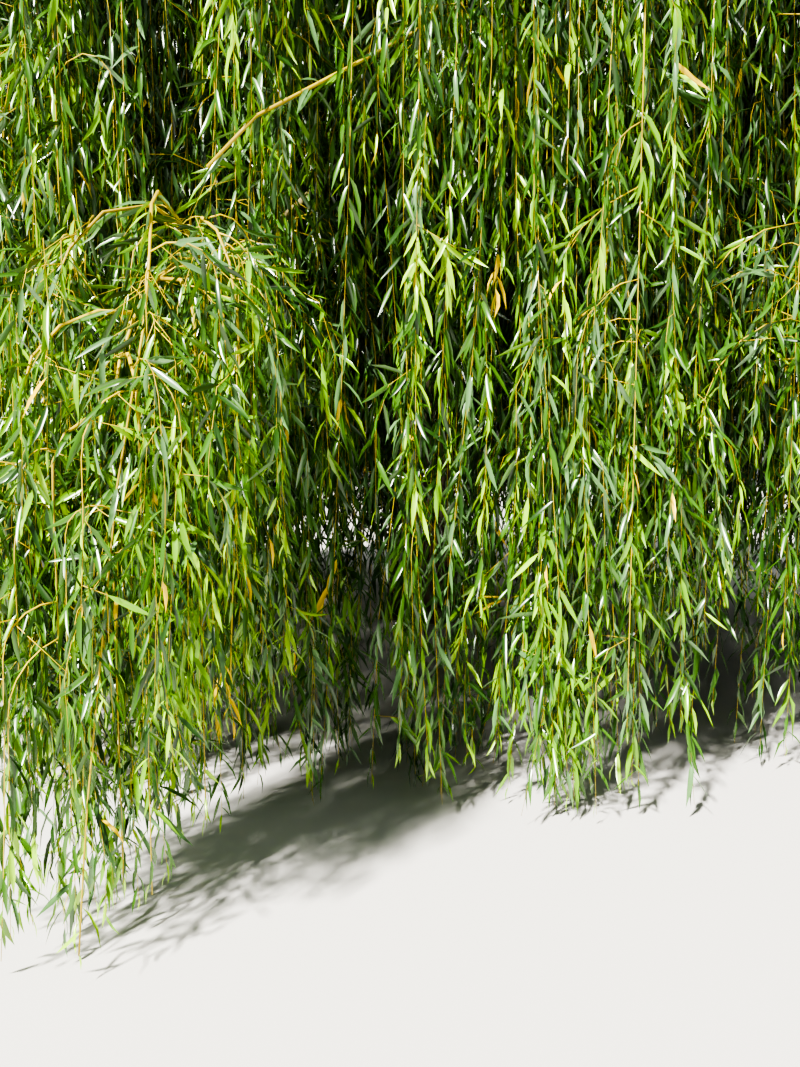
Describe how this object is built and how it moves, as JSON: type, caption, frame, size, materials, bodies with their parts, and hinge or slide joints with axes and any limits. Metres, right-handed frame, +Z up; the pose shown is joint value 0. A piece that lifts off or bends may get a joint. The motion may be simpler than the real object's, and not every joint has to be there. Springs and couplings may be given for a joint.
{
  "type": "weeping willow tree",
  "caption": "Whole weeping willow: flared trunk, forking boughs, a domed crown and leafy curtains that hang close to the ground, with an arching spray in front.",
  "frame": {"origin": "middle of the flat cut that ends the trunk at the ground", "axes": "+Z up along the height of the tree, -Y towards its front, where the spray stands out, +X to its right as seen from the front"},
  "size_m": [10.1694, 11.0518, 9.3212],
  "materials": {
    "trunk_bark": "grey-brown, deeply furrowed bark",
    "bough_bark": "olive-brown, smooth to finely cracked bark",
    "foliage": "living leaves, green with a soft sheen above and blue-grey below, on golden-yellow twigs"
  },
  "bodies": {
    "root": {"trunk": "trunk_bark", "leader": "trunk_bark", "bough_1_lower": "trunk_bark", "bough_2_lower": "trunk_bark", "bough_3_lower": "trunk_bark", "bough_4_lower": "trunk_bark", "bough_5_lower": "trunk_bark", "bough_6_lower": "trunk_bark", "bough_1_right": "bough_bark", "bough_1_left": "bough_bark", "bough_2_right": "bough_bark", "bough_2_left": "bough_bark", "bough_3_right": "bough_bark", "bough_3_left": "bough_bark", "bough_4_right": "bough_bark", "bough_4_left": "bough_bark", "bough_5_right": "bough_bark", "bough_5_left": "bough_bark", "bough_6_right": "bough_bark", "bough_6_left": "bough_bark", "shoulder_bough_1": "bough_bark", "shoulder_bough_2": "bough_bark", "shoulder_bough_3": "bough_bark", "shoulder_bough_4": "bough_bark", "shoulder_bough_5": "bough_bark", "shoulder_bough_6": "bough_bark", "inner_bough_1": "bough_bark", "inner_bough_2": "bough_bark", "inner_bough_3": "bough_bark", "inner_bough_4": "bough_bark", "inner_bough_5": "bough_bark", "inner_bough_6": "bough_bark", "front_bough": "bough_bark", "curtain_1": "foliage", "curtain_2": "foliage", "curtain_3": "foliage", "curtain_4": "foliage", "curtain_5": "foliage", "curtain_6": "foliage", "curtain_7": "foliage", "curtain_8": "foliage", "curtain_9": "foliage", "curtain_10": "foliage", "curtain_11": "foliage", "curtain_12": "foliage", "shoulder_1": "foliage", "shoulder_2": "foliage", "shoulder_3": "foliage", "shoulder_4": "foliage", "shoulder_5": "foliage", "shoulder_6": "foliage", "inner_mass_1": "foliage", "inner_mass_2": "foliage", "inner_mass_3": "foliage", "inner_mass_4": "foliage", "inner_mass_5": "foliage", "inner_mass_6": "foliage", "crown_top": "foliage", "front_spray": "foliage"}
  },
  "joints": []
}
